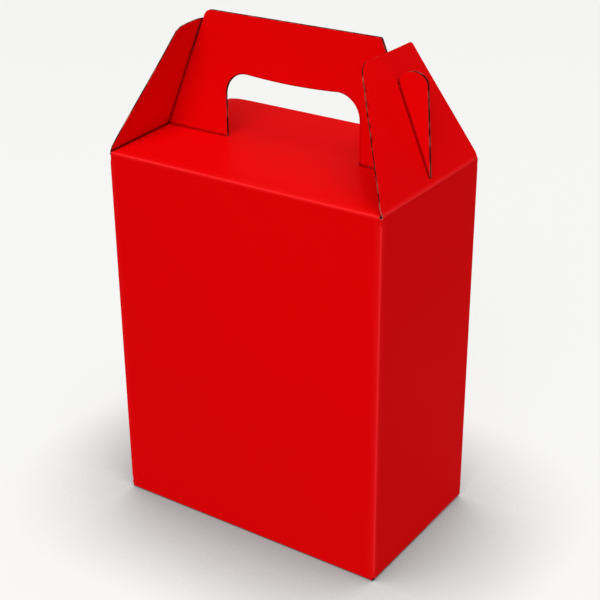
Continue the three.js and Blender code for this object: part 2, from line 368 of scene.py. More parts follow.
@dataclass(frozen=True)
class Settling:
    """The small bows that the folded card takes, as displacements of its points."""

    back_arch: float = 3.72
    arch_tilt: float = -0.0066
    arch_power: int = 20
    arch_outward: float = 0.25
    ear_bend: float = 0.018
    front_bow: float = 0.35
    end_bow: float = 0.3

    def across(self, x: np.ndarray) -> np.ndarray:
        """How far the back crease arches at x: (arch + tilt x) (1 - |x / half width|^power)."""
        share = 1.0 - np.clip(np.abs(x) / BOX.half_width, 0, 1) ** self.arch_power
        return (self.back_arch + self.arch_tilt * x) * share

    def ears(self, points: np.ndarray, leaf: "HandleLeaf") -> np.ndarray:
        """The left ears' bend to the back: amount x (distance outside the flap)^2.

        Args:
            points: rows of x, y and z.
            leaf: the handle leaf, for its slanted edge.

        Returns:
            The displacement of every point.
        """
        x, y, z = points.T
        outside = np.clip(-x - leaf.edge(z - BOX.height), 0, None)
        on_leaf = (z > BOX.height + 2 * CARD.fold_radius) & (np.abs(y) < 2 * LEAF_OFFSET)
        bend = self.ear_bend * outside**2 * on_leaf
        return np.column_stack([np.zeros_like(x), bend, np.zeros_like(x)])

    def roof(self, points: np.ndarray) -> np.ndarray:
        """The lift of the roof: an arch that grows from the handle to the back crease.

        Args:
            points: rows of x, y and z on the roof or the upper back wall.

        Returns:
            The displacement of every point.
        """
        x, y, z = points.T
        rise = np.clip((y - LEAF_OFFSET) / (BOX.half_depth - LEAF_OFFSET), 0, 1)
        rise = rise * smooth_step(z, BOX.height / 2, BOX.height)
        lift = self.across(x) * rise
        return np.column_stack([np.zeros_like(x), self.arch_outward * lift, lift])

    def walls(self, s: np.ndarray, v: np.ndarray, normal: np.ndarray) -> np.ndarray:
        """Bows of the flat walls: amplitude times a half wave across and up the wall.

        Args:
            s: place round the walls.
            v: place up the walls.
            normal: outward normal of every point.

        Returns:
            The displacement of every point.
        """
        up = np.sin(np.pi * np.clip(v / BOX.height, 0, 1))
        total = np.zeros_like(s)
        for panel, middle in PANEL_MIDDLE.items():
            long_side = panel in LONG_PATHS
            half = BOX.half_width if long_side else BOX.half_depth
            amount = self.front_bow if long_side else -self.end_bow
            across = np.cos(np.pi / 2 * np.clip((s - middle) / (half - CARD.fold_radius), -1, 1))
            total = total + amount * across * up
        inside_walls = (v > SIDE_WALL_FOOT) & (v < WALL_TOP)
        return normal * (total * inside_walls)[:, None]


SETTLING = Settling()


class Blank:
    """A flat cut sheet: outlines, holes and the grid of points that it is meshed on."""

    def __init__(self, columns: np.ndarray, rows: np.ndarray) -> None:
        """Starts a blank on a grid.

        Args:
            columns: the s of the grid's lines.
            rows: the v of the grid's lines.
        """
        self.columns = np.unique(np.round(columns, GRID_DECIMALS))
        self.rows = np.unique(np.round(rows, GRID_DECIMALS))
        self.regions: list = []
        self.holes: list = []

    def add(self, outline: np.ndarray) -> None:
        """Adds a region of card inside a closed outline."""
        self.regions.append(self.split(np.asarray(outline, float)))

    def cut(self, outline: np.ndarray) -> None:
        """Cuts a hole out of the card."""
        self.holes.append(self.split(np.asarray(outline, float)))

    def split(self, outline: np.ndarray) -> np.ndarray:
        """Splits an outline where it crosses the grid's lines.

        Args:
            outline: rows of s and v.

        Returns:
            The outline with a point at every crossing.
        """
        parts = []
        for start, end in zip(outline, np.roll(outline, -1, axis=0)):
            step = end - start
            shares = [np.array([0.0])]
            for axis, lines in ((0, self.columns), (1, self.rows)):
                if abs(step[axis]) > NEAR:
                    share = (lines - start[axis]) / step[axis]
                    shares.append(share[(share > NEAR) & (share < 1 - NEAR)])
            share = np.unique(np.round(np.concatenate(shares), SHARE_DECIMALS))
            parts.append(start + share[:, None] * step)
        return np.concatenate(parts)

    @staticmethod
    def inside(points: np.ndarray, outline: np.ndarray) -> np.ndarray:
        """Whether points lie inside an outline, by counting crossings to their right.

        Args:
            points: rows of s and v.
            outline: rows of s and v.

        Returns:
            One truth value for each point.
        """
        start, end = outline, np.roll(outline, -1, axis=0)
        px, py = points[:, 0, None], points[:, 1, None]
        spans = (start[:, 1] > py) != (end[:, 1] > py)
        rise = np.where(end[:, 1] == start[:, 1], 1.0, end[:, 1] - start[:, 1])
        cross_x = start[:, 0] + (py - start[:, 1]) * (end[:, 0] - start[:, 0]) / rise
        return (np.sum(spans & (px < cross_x), axis=1) % 2) == 1

    def covered(self, points: np.ndarray) -> np.ndarray:
        """Whether points lie on the card: in a region and in none of the holes.

        Args:
            points: rows of s and v.

        Returns:
            One truth value for each point.
        """
        on_card = np.zeros(len(points), bool)
        for region in self.regions:
            on_card |= self.inside(points, region)
        for hole in self.holes:
            on_card &= ~self.inside(points, hole)
        return on_card

    def triangles(self) -> tuple:
        """Meshes the card: grid points and outlines joined by a Delaunay net.

        Returns:
            Rows of s and v, and rows of three point numbers.
        """
        grid = np.stack(np.meshgrid(self.columns, self.rows), axis=-1).reshape(-1, 2)
        grid = grid[self.covered(grid)]
        points, edges = [grid], []
        first = len(grid)
        for outline in self.regions + self.holes:
            number = first + np.arange(len(outline))
            edges.append(np.column_stack([number, np.roll(number, -1)]))
            points.append(outline)
            first += len(outline)
        coordinates = [Vector(p) for p in np.concatenate(points)]
        links = np.concatenate(edges).tolist()
        out_points, _, out_faces, *_ = delaunay_2d_cdt(coordinates, links, [], 0, NEAR)
        flat = np.array([tuple(p) for p in out_points])
        faces = np.array(out_faces)
        kept = faces[self.covered(flat[faces].mean(axis=1))]
        used = np.unique(kept)
        number = np.zeros(len(flat), int)
        number[used] = np.arange(len(used))
        flat, kept = flat[used], number[kept]
        a, b, c = (flat[kept[:, i]] for i in range(3))
        area = (b[:, 0] - a[:, 0]) * (c[:, 1] - a[:, 1]) - (b[:, 1] - a[:, 1]) * (c[:, 0] - a[:, 0])
        kept[area < 0] = kept[area < 0][:, ::-1]
        return flat, kept[np.abs(area) > EMPTY_AREA]


class Sheet:
    """A folded sheet of card: its middle surface, normals and what marks its edges."""

    def __init__(self, flat: np.ndarray, faces: np.ndarray) -> None:
        """Holds a meshed blank that is still flat.

        Args:
            flat: rows of s and v.
            faces: rows of three point numbers.
        """
        self.flat = flat
        self.faces = faces
        self.crease = np.zeros(len(flat))
        self.red_rim = np.zeros(len(flat), bool)
        self.points = np.zeros((len(flat), 3))
        self.normals = np.zeros((len(flat), 3))

    def rim(self) -> np.ndarray:
        """The sheet's open edges: those that belong to one face only.

        Returns:
            Rows of two point numbers, in face order.
        """
        edges = np.concatenate([self.faces[:, [0, 1]], self.faces[:, [1, 2]], self.faces[:, [2, 0]]])
        key = np.sort(edges, axis=1)
        _, first, counts = np.unique(key, axis=0, return_index=True, return_counts=True)
        return edges[first[counts == 1]]

    def solid(self, name: str, finishes: list) -> bpy.types.Object:
        """Gives the sheet its thickness and makes it an object.

        The outer face is point + normal x half the thickness, the inner one is
        point - normal x half, and a strip of faces closes every open edge.

        Args:
            name: of the piece.
            finishes: the card's material and that of its cut edges.

        Returns:
            The piece.
        """
        offset = self.normals * CARD.half
        rim = self.rim()
        count = len(self.points)
        outer, inner = self.points + offset, self.points - offset
        used, local = np.unique(rim, return_inverse=True)
        local = local.reshape(rim.shape) + 2 * count
        places = np.concatenate([outer, inner, outer[used], inner[used]]) * MM
        strip = np.column_stack(
            [local[:, 1], local[:, 0], local[:, 0] + len(used), local[:, 1] + len(used)]
        )
        inner_faces = self.faces[:, ::-1] + count
        mesh = bpy.data.meshes.new(name)
        faces = [*self.faces.tolist(), *inner_faces.tolist(), *strip.tolist()]
        mesh.from_pydata(places.tolist(), [], faces)
        for finish in finishes:
            mesh.materials.append(finish)
        cut_edge = ~(self.red_rim[rim[:, 0]] & self.red_rim[rim[:, 1]])
        slots = np.concatenate([np.zeros(2 * len(self.faces), int), cut_edge.astype(int)])
        mesh.polygons.foreach_set("material_index", slots)
        # The crease values set the painted highlight and painted shade in the card's colour.
        crease = mesh.attributes.new("crease", "FLOAT", "POINT")
        values = np.concatenate([self.crease, self.crease, self.crease[used], self.crease[used]])
        crease.data.foreach_set("value", values.astype(np.float32))
        mesh.polygons.foreach_set("use_smooth", np.ones(len(mesh.polygons), bool))
        mesh.update()
        return linked(name, mesh)


def fold_sheet(sheet: Sheet) -> None:
    """Folds a sheet round the box's walls, roof, bottom and handle.

    A point in the wall zone is RING(s) at height v. Beyond that zone it is
    (t, PATH(v)) of its panel, turned to the panel's side, with t = s - middle.

    Args:
        sheet: the sheet, whose points and normals are filled in.
    """
    s, v = sheet.flat.T
    place, normal = RING.at(s)
    sheet.points = np.column_stack([place, v])
    sheet.normals = np.column_stack([normal, np.zeros_like(v)])
    number = np.searchsorted(RING.fold_middles(), s) - 1
    for i, (panel, middle) in enumerate(PANEL_MIDDLE.items()):
        path = panel_path(panel)
        foot = CARD.fold_radius if panel in LONG_PATHS else SIDE_WALL_FOOT
        beyond = (number == i) & ((v < foot) | (v > WALL_TOP - PANEL_LAP))
        beyond &= np.abs(s - middle) <= wall_half(panel) + TINY
        folded = swept(path, v[beyond], s[beyond] - middle, panel.value)
        sheet.points[beyond], sheet.normals[beyond] = folded
    sheet.crease = crease_of(s, v, number)
    sheet.points += SETTLING.walls(s, v, sheet.normals)
    sheet.points += SETTLING.roof(sheet.points)


def wall_half(panel: Panel) -> float:
    """Half the flat width of a wall."""
    half = BOX.half_width if panel in LONG_PATHS else BOX.half_depth
    return half - CARD.fold_radius


def crease_of(s: np.ndarray, v: np.ndarray, number: np.ndarray) -> np.ndarray:
    """How close points are to a crease, which sets the painted highlight and shade: 1 on one that
    stands out, -1 on a hollow one.

    Args:
        s: place round the walls.
        v: place up the panels.
        number: the number of every point's panel.

    Returns:
        A value from -1 to 1 for every point, 0 away from the creases.
    """
    upright = np.array(RING.fold_middles())
    gap = np.abs(s[:, None] - upright).min(axis=1)
    gap = np.where((v < SIDE_WALL_FOOT) | (v > BOX.height), CARD.painted_highlight, gap)
    for i, panel in enumerate(PANEL_MIDDLE):
        levels = panel_path(panel).fold_middles()
        rows = np.abs(v[:, None] - levels[:2]).min(axis=1)
        gap = np.where(number == i, np.minimum(gap, rows), gap)
    # The hollow fold at the handle's root gets painted shade.
    root = LONG_PATHS[Panel.FRONT].fold_middles()[2]
    inner = np.clip(1.0 - np.abs(v - root) / CARD.painted_shade, 0.0, 1.0)
    return np.clip(1.0 - gap / CARD.painted_highlight, 0.0, 1.0) - inner


@dataclass
class HandleLeaf:
    """One leaf of the handle, with its hand hole and an ear at each end."""

    height: float = 50.0
    left_corner: float = 3.2
    right_corner: float = 0.9
    hole_width: float = 59.6
    hole_right: float = 0.8
    hole_height: float = 28.0
    hole_radius: float = 9.2
    hole_sag: float = 0.8
    seat: float = 0.6
    ear_inset: float = 0.8
    ear_taper: float = math.radians(3.8)
    ear_shoulder: float = 35.6
    ear_arch: float = 4.5
    ear_notch: float = 2.0
    ear_foot: float = 1.0
    back_inset: float = 0.6
    root_overlap: float = 1.5
    steps: int = 16
    foot_steps: int = 8
    ear_steps: int = 24
    corner_steps: int = 3

    def edge(self, height: float) -> float:
        """The x of the slanted edge: it follows the leaning flap's inner face."""
        across = (CARD.thickness + self.seat) / math.cos(BOX.flap_lean)
        return BOX.half_width - across - height * math.tan(BOX.flap_lean)

    def ear_edge(self, height: float) -> float:
        """The x of the ear's outer edge."""
        return BOX.half_width - self.ear_inset - height * math.tan(self.ear_taper)

    def ear_inner(self) -> float:
        """The x where the ear's arched top starts, just outside the flap."""
        seat = self.seat / math.cos(BOX.flap_lean)
        return BOX.half_width - self.ear_shoulder * math.tan(BOX.flap_lean) + seat

    def end_outline(self, lift: float, radius_on_top: float) -> np.ndarray:
        """The right-hand end, from its root over ear and notch to the top corner.

        Args:
            lift: height of the fold's upper end above the creases.
            radius_on_top: of the handle's upper corner.

        Returns:
            Rows of x and height above the creases.
        """
        foot = self.ear_edge(lift + self.ear_foot) - self.ear_foot
        outer, inner = self.ear_edge(self.ear_shoulder), self.ear_inner()
        middle, radius = (outer + inner) / 2, (outer - inner) / 2
        notch = self.ear_shoulder - self.ear_notch
        lean = math.degrees(BOX.flap_lean)
        setback = radius_on_top * math.tan((math.pi / 2 - BOX.flap_lean) / 2)
        corner = (self.edge(self.height) - setback, self.height - radius_on_top)
        size = (radius_on_top, radius_on_top)
        return np.concatenate([
            [(foot, lift - self.root_overlap)],
            arc((foot, lift + self.ear_foot), (self.ear_foot,) * 2, -90, 0, self.foot_steps),
            arc((middle, self.ear_shoulder), (radius, self.ear_arch), 0, 180, self.ear_steps),
            [(inner, notch), (self.edge(notch), notch)],
            arc(corner, size, lean, 90, self.corner_steps),
        ])

    def hole_outline(self, width: float, bottom: float, top: float) -> np.ndarray:
        """The hand hole from its bottom left, over its sagging top, to its bottom right.

        Args:
            width: of the hole.
            bottom: height of its lower ends.
            top: height of its upper edge.

        Returns:
            Rows of x and height.
        """
        half, radius = width / 2, self.hole_radius
        end = half + self.hole_right
        left = arc((-half + radius, top - radius), (radius, radius), 180, 90, self.steps)
        right = arc((end - radius, top - radius), (radius, radius), 90, 0, self.steps)
        x = np.linspace(-half + radius, end - radius, self.steps + 1)[1:-1]
        sag = self.hole_sag * (1 - (x / (half - radius)) ** 2)
        top_edge = np.column_stack([x, top - sag])
        return np.concatenate([[(-half, bottom)], left, top_edge, right, [(end, bottom)]])


@dataclass
class LongFlap:
    """A long bottom flap of the crash-lock bottom."""

    lap: float = 8.0
    hook: float = 8.0
    gap: float = 0.3

    def outline(self) -> np.ndarray:
        """Its edge: one half a lap past the middle line, the other short of it, a hook between.

        Returns:
            Rows of x and local y, with the wall at the negative end.
        """
        end, lap, hook = wall_half(Panel.FRONT), self.lap - self.gap / 2, self.hook / 2
        far = -self.lap - self.gap / 2
        return np.array([
            (end, lap),
            (hook - self.gap / 2, lap),
            (-hook + self.gap / 2, far),
            (-end + BOX.half_depth - self.lap, far),
            (-end, -BOX.half_depth + CARD.fold_radius),
        ])


@dataclass
class SideFlap:
    """A short bottom flap, folded in from an end wall."""

    reach: float = 38.0
    short_edge: float = 30.0
    taper: float = 4.0

    def outline(self) -> np.ndarray:
        """Its edge: a taper from the wall to its reach, with the far corner cut away.

        Returns:
            Rows of t and local y, with the wall at the negative end.
        """
        inside, wall = wall_half(Panel.LEFT), -BOX.half_width
        return np.array([
            (inside, wall + CARD.fold_radius),
            (inside - self.taper, wall + self.reach),
            (inside - self.short_edge, wall + self.reach),
            (-inside + self.taper, wall + self.reach / 2),
            (-inside, wall + CARD.fold_radius),
        ])


@dataclass
class Carton:
    """The whole folded sheet apart from its two end flaps."""

    finishes: list
    leaf: HandleLeaf = field(default_factory=HandleLeaf)
    long_flap: LongFlap = field(default_factory=LongFlap)
    side_flap: SideFlap = field(default_factory=SideFlap)
    tab_chamfer: float = 8.0
    glue_tab_width: float = 14.0
    tongue_bend: float = 6.0
    edge_gap: float = 0.3
    cut_gap: float = 0.1

    def blank(self) -> Blank:
        """Lays out the blank: the ring of walls, then what each panel carries.

        Returns:
            The blank, not yet meshed.
        """
        first, last = RING.distance[0], RING.distance[-1]
        columns = [np.arange(first, last, CARD.pitch), RING.fold_rows()]
        rows = [np.arange(BLANK_FOOT, 2 * BOX.height, CARD.pitch), END_PATH.fold_rows()]
        rows += [path.fold_rows() for path in LONG_PATHS.values()]
        rows += [np.array([FLAP_CREASE])]
        blank = Blank(np.concatenate(columns), np.concatenate(rows))
        tab_end = RING.distance[1]
        blank.add(rectangle(tab_end, last, SIDE_WALL_FOOT, WALL_TOP))
        foot, top = SIDE_WALL_FOOT, WALL_TOP - CARD.fold_radius
        blank.add([
            (first, foot + self.tab_chamfer),
            (tab_end + CARD.half, foot),
            (tab_end + CARD.half, top),
            (first, top - self.tab_chamfer),
        ])
        for panel in Panel:
            self.add_bottom_flap(blank, panel)
            middle, half = PANEL_MIDDLE[panel], wall_half(panel)
            if panel in LONG_PATHS:
                self.add_long_side(blank, panel)
            else:
                low, high = WALL_TOP - PANEL_LAP, FLAP_CREASE
                blank.add(rectangle(middle - half, middle + half, low, high))
        return blank

    def add_bottom_flap(self, blank: Blank, panel: Panel) -> None:
        """Adds a panel's bottom flap to the blank.

        Args:
            blank: the blank.
            panel: the panel.
        """
        middle, half = PANEL_MIDDLE[panel], wall_half(panel)
        flap = self.long_flap if panel in LONG_PATHS else self.side_flap
        across, depth = flap.outline().T
        blank.add([
            (middle - half, SIDE_WALL_FOOT + PANEL_LAP),
            (middle + half, SIDE_WALL_FOOT + PANEL_LAP),
            *[(middle + x, panel_path(panel).at_level(0, y)) for x, y in zip(across, depth)],
        ])

    def add_long_side(self, blank: Blank, panel: Panel) -> None:
        """Adds half the roof and a handle leaf to the blank.

        Args:
            blank: the blank.
            panel: the front or the back.
        """
        path, middle, half = LONG_PATHS[panel], PANEL_MIDDLE[panel], wall_half(panel)
        rise = BOX.roof_rise if panel is Panel.FRONT else BOX.back_rise
        root = path.fold_middles()[2]
        crease = half - self.edge_gap
        centre = self.leaf.edge(BOX.roof_rise)
        blank.add([
            (middle - crease, WALL_TOP - PANEL_LAP),
            (middle + crease, WALL_TOP - PANEL_LAP),
            (middle + centre, root - CARD.fold_radius / 2),
            (middle - centre, root - CARD.fold_radius / 2),
        ])
        low, high = WALL_TOP - 2 * PANEL_LAP, WALL_TOP + self.edge_gap / 2
        blank.add(rectangle(middle - half, middle + half, low, high))
        lift = rise + CARD.fold_radius
        level = path.at_level(1, BOX.height + lift, last=True) - lift
        radii = (self.leaf.right_corner, self.leaf.left_corner)
        inset = 0.0
        hole_foot = path.at_level(0, TONGUE_ROOT, last=True)
        if panel is Panel.BACK:
            radii = radii[::-1]
            inset = self.leaf.back_inset
            hole_foot = root
        right = self.leaf.end_outline(lift, radii[0])
        left = self.leaf.end_outline(lift, radii[1])[::-1] * (-1, 1)
        root_height = root - CARD.fold_radius - level
        hole = self.leaf.hole_outline(
            self.leaf.hole_width - 2 * inset, hole_foot - level, self.leaf.hole_height - inset
        )
        outline = np.concatenate([right[1:], left[:-1]])
        legs = np.array([(-right[0, 0], root_height), (right[0, 0], root_height)])
        outline = np.concatenate([outline, legs]) + (middle, level)
        blank.add(outline)
        blank.cut(hole + (middle, level))

    def build(self) -> list:
        """Makes the folded sheet, its tongue and the glue tabs of its bottom.

        Returns:
            The pieces.
        """
        sheet = Sheet(*self.blank().triangles())
        fold_sheet(sheet)
        sheet.points += SETTLING.ears(sheet.points, self.leaf)
        sheet.red_rim = np.abs(sheet.flat[:, 1] - FLAP_CREASE) < TINY
        carton = sheet.solid("folded_carton", self.finishes)
        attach(carton, "carton")
        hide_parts("carton")
        return [carton, self.tongue(), *self.glue_tabs()]

    def tongue(self) -> bpy.types.Object:
        """The tongue cut from the hand hole, lying on over the back half of the roof.

        Returns:
            The piece.
        """
        front = LONG_PATHS[Panel.FRONT]
        place, _ = front.at(np.array([front.at_level(0, TONGUE_ROOT, last=True)]))
        (root, foot), run = place[0], BOX.half_depth - LEAF_OFFSET
        level = BOX.height + BOX.roof_rise - CARD.half
        back_slope = BOX.back_rise / run
        corners = [
            (root, foot),
            (-LEAF_OFFSET, level),
            (LEAF_OFFSET + run, level - back_slope * run),
        ]
        path = FoldPath(corners, [self.tongue_bend]).matching(0, 0.0)
        reach = self.leaf.hole_height - BOX.roof_rise
        width = self.leaf.hole_width - self.cut_gap
        outline = self.leaf.hole_outline(width, path.distance[0], reach)
        columns = np.arange(-BOX.half_width, BOX.half_width, CARD.pitch)
        rows = np.concatenate([np.arange(-CARD.pitch, reach, CARD.pitch), path.fold_rows()])
        blank = Blank(columns, rows)
        blank.add(outline)
        sheet = Sheet(*blank.triangles())
        x, v = sheet.flat.T
        sheet.points, sheet.normals = swept(path, v, x, Panel.FRONT.value)
        sheet.points += SETTLING.roof(sheet.points)
        piece = sheet.solid("roof_tongue", self.finishes)
        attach(piece, "carton")
        return piece

    def glue_tabs(self) -> list:
        """The two glue tabs, flat and half way up the second layer of the bottom.

        Returns:
            The two pieces.
        """
        corner, wall = -wall_half(Panel.FRONT), -BOX.half_depth
        reach = BOX.half_depth - self.long_flap.lap - 2 * self.edge_gap
        left, near = corner + self.cut_gap, wall + CARD.thickness + self.edge_gap
        outline = np.array([
            (left, near),
            (left + self.glue_tab_width, near),
            (corner + reach, wall + reach - self.glue_tab_width / 2),
            (corner + reach, wall + reach),
        ])
        made = []
        layer_middle = 1.5 * CARD.thickness
        lines = np.arange(-BOX.half_width, BOX.half_width, CARD.pitch)
        for name, turn in (("glue_tab_front", 0.0), ("glue_tab_back", 180.0)):
            blank = Blank(lines, lines)
            blank.add(outline)
            sheet = Sheet(*blank.triangles())
            level = np.full(len(sheet.flat), layer_middle)
            sheet.points = turned(np.column_stack([sheet.flat, level]), turn)
            sheet.normals = np.tile([0.0, 0.0, 1.0], (len(level), 1))
            piece = sheet.solid(name, self.finishes)
            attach(piece, "carton")
            made.append(piece)
        return made


@dataclass
class EndFlap:
    """An end flap that leans on the handle, with the slit that its ears pass."""

    panel: Panel
    finishes: list
    front_curl: float
    back_curl: float
    stretch: float = 0.0
    length: float = 49.3
    base_width: float = 68.4
    top_width: float = 33.0
    shoulder: float = 2.5
    front_radius: float = 5.0
    back_radius: float = 2.0
    slit_bottom: float = 2.6
    slit_top: float = 37.3
    slit_half: float = 0.8
    corner_steps: int = 10
    pitch: float = 2.0
    stretch_from: float = -8.0
    stretch_to: float = 4.0

    def outline(self) -> np.ndarray:
        """Its edge: short upright sides, then straight slopes to the rounded top corners.

        Returns:
            Rows of t and distance up from the crease.
        """
        base, top = self.base_width / 2, self.top_width / 2
        slope = math.atan2(base - top, self.length - self.shoulder)
        radii = (self.front_radius, self.back_radius)
        sides = []
        for sign, radius in zip((1, -1), radii if self.panel is Panel.LEFT else radii[::-1]):
            setback = radius * math.tan((math.pi / 2 - slope) / 2)
            centre, size = (top - setback, self.length - radius), (radius, radius)
            corner = arc(centre, size, math.degrees(slope), 90, self.corner_steps)
            sides.append(corner * (sign, 1))
        return np.concatenate([
            [(-base, 0.0), (base, 0.0), (base, self.shoulder)],
            sides[0],
            sides[1][::-1],
            [(-base, self.shoulder)],
        ])

    def slit(self) -> np.ndarray:
        """The slit's outline: parallel sides that close to a point at both ends.

        A tip's points are given as shares of half the slit's width.

        Returns:
            Rows of t and distance up from the crease.
        """
        tip = np.array([(0.0, 0.0), (0.7, 0.3), (1.0, 0.8)]) * self.slit_half
        low, high = (0.0, self.slit_bottom), (0.0, self.slit_top)
        return np.concatenate([
            tip + low,
            tip[::-1] * (1, -1) + high,
            tip[1:] * (-1, -1) + high,
            tip[:0:-1] * (-1, 1) + low,
        ])

    def curl(self, t: np.ndarray, up: np.ndarray) -> np.ndarray:
        """How far the wings curl inwards: amount x (distance from the slit / width)^2.

        Args:
            t: distance across the flap from its middle.
            up: distance up from the crease.

        Returns:
            The inward displacement of every point.
        """
        front = (t < 0) if self.panel is Panel.RIGHT else (t > 0)
        amount = np.where(front, self.front_curl, self.back_curl)
        share = np.clip(up / self.length, 0, 1)
        half = (self.base_width + (self.top_width - self.base_width) * share) / 2
        reach = np.clip((np.abs(t) - self.slit_half) / half, 0, 1)
        return amount * reach**2 * smooth_step(up, 0.0, self.length)

    def build(self) -> bpy.types.Object:
        """Makes the flap, folded from the same section as its wall.

        Returns:
            The piece.
        """
        base, folds = self.base_width / 2, END_PATH.fold_rows() - FLAP_CREASE
        columns = np.concatenate([np.arange(-base, base, self.pitch), [base]])
        rows = np.concatenate([np.arange(0.0, self.length, self.pitch), folds])
        blank = Blank(columns, rows)
        blank.add(self.outline())
        blank.cut(self.slit())
        sheet = Sheet(*blank.triangles())
        t, up = sheet.flat.T
        forward = t if self.panel is Panel.LEFT else -t
        front = smooth_step(forward, self.stretch_from, self.stretch_to)
        along = FLAP_CREASE + up + self.stretch * smooth_step(up, 0.0, self.length) * front
        sheet.points, sheet.normals = swept(END_PATH, along, t, self.panel.value)
        sheet.points -= sheet.normals * self.curl(t, up)[:, None]
        # Painted highlight along the flap's crease.
        sheet.crease = np.clip(1.0 - up / CARD.painted_highlight, 0.0, 1.0)
        sheet.red_rim = up < TINY
        name = f"end_flap_{self.panel.name.lower()}"
        piece = sheet.solid(f"{name}_card", self.finishes)
        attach(piece, name)
        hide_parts(name)
        return piece


class Socket:
    """A shader value on which Python's operators add Math nodes."""

    def __init__(self, nodes: "Nodes", output: bpy.types.NodeSocket) -> None:
        """Wraps an output socket."""
        self.nodes = nodes
        self.output = output

    def math(self, operation: str, first: object, second: object) -> "Socket":
        """Adds a Math node for an operation on two values."""
        return self.nodes.add("ShaderNodeMath", {"operation": operation}, {0: first, 1: second})

    def __add__(self, other: object) -> "Socket":
        """This value plus another."""
        return self.math("ADD", self, other)

    def __mul__(self, other: object) -> "Socket":
        """This value times another."""
        return self.math("MULTIPLY", self, other)

    __radd__ = __add__
    __rmul__ = __mul__


class Nodes:
    """The node tree of a material or world, built one node at a time."""

    def __init__(self, owner: bpy.types.ID) -> None:
        """Empties the tree of a material or world.

        Args:
            owner: the material or world.
        """
        self.owner = owner
        owner.use_nodes = True
        self.tree = owner.node_tree
        self.tree.nodes.clear()

    def add(self, kind: str, settings: dict, values: dict, output: object = 0) -> Socket:
        """Adds a node, sets it up and links or fills its sockets.

        Args:
            kind: the node's type.
            settings: its properties, set first.
            values: a number, colour or Socket for each input, by name or number.
            output: name or number of the output that is wanted, or None.

        Returns:
            The wanted output, if any.
        """
        node = self.tree.nodes.new(kind)
        for key, value in settings.items():
            setattr(node, key, value)
        for key, value in values.items():
            if isinstance(value, Socket):
                self.tree.links.new(value.output, node.inputs[key])
            else:
                node.inputs[key].default_value = value
        return None if output is None else Socket(self, node.outputs[output])

    def mix(self, factor: object, first: object, second: object) -> Socket:
        """Mixes two colours, with a factor that is the second one's share."""
        values = {"Factor": factor, 6: first, 7: second}
        return self.add("ShaderNodeMix", {"data_type": "RGBA"}, values, 2)

    def either(self, factor: object, first: Socket, second: Socket) -> Socket:
        """Mixes two shaders, with a factor that is the second one's share."""
        return self.add("ShaderNodeMixShader", {}, {0: factor, 1: first, 2: second})

    def open_share(self, distance: float) -> Socket:
        """The share of the directions in which nothing is nearer than a distance."""
        values = {"Distance": distance}
        return self.add("ShaderNodeAmbientOcclusion", {"samples": 8}, values, "AO")

    def pale_rays(self) -> Socket:
        """Tells the rays that see the pale background from those that light the box.

        Returns:
            1 for camera, glossy and transmission rays, 0 for all others.
        """
        kinds = ("Camera", "Glossy", "Transmission")
        rays = [self.add("ShaderNodeLightPath", {}, {}, f"Is {kind} Ray") for kind in kinds]
        return rays[0] + rays[1] + rays[2]

    def noise(self, scale: float, detail: float) -> Socket:
        """A noise pattern from 0 to 1, laid out on the Object coordinates.

        Args:
            scale: cells to the metre.
            detail: octaves.

        Returns:
            The pattern's value.
        """
        place = self.add("ShaderNodeTexCoord", {}, {}, "Object")
        values = {"Vector": place, "Scale": scale, "Detail": detail, "Roughness": 0.6}
        return self.add("ShaderNodeTexNoise", {}, values, "Fac")

    def finish(self, shader: Socket, kind: str = "ShaderNodeOutputMaterial") -> bpy.types.ID:
        """Links a shader to a new output node and gives back the tree's owner."""
        self.add(kind, {}, {"Surface": shader}, None)
        return self.owner


def linear(red: int, green: int, blue: int) -> tuple:
    """A colour's linear values from its screen values, by sRGB's formula.

    A share up to 0.04045 is divided by 12.92, and a higher one becomes
    ((share + 0.055) / 1.055)^2.4.

    Args:
        red: from 0 to 255.
        green: from 0 to 255.
        blue: from 0 to 255.

    Returns:
        Linear red, green and blue, and an alpha of 1.
    """
    share = np.array([red, green, blue]) / 255
    low = share / 12.92
    high = ((share + 0.055) / 1.055) ** 2.4
    return (*np.where(share <= 0.04045, low, high).tolist(), 1.0)


WHITE = linear(248, 248, 247)


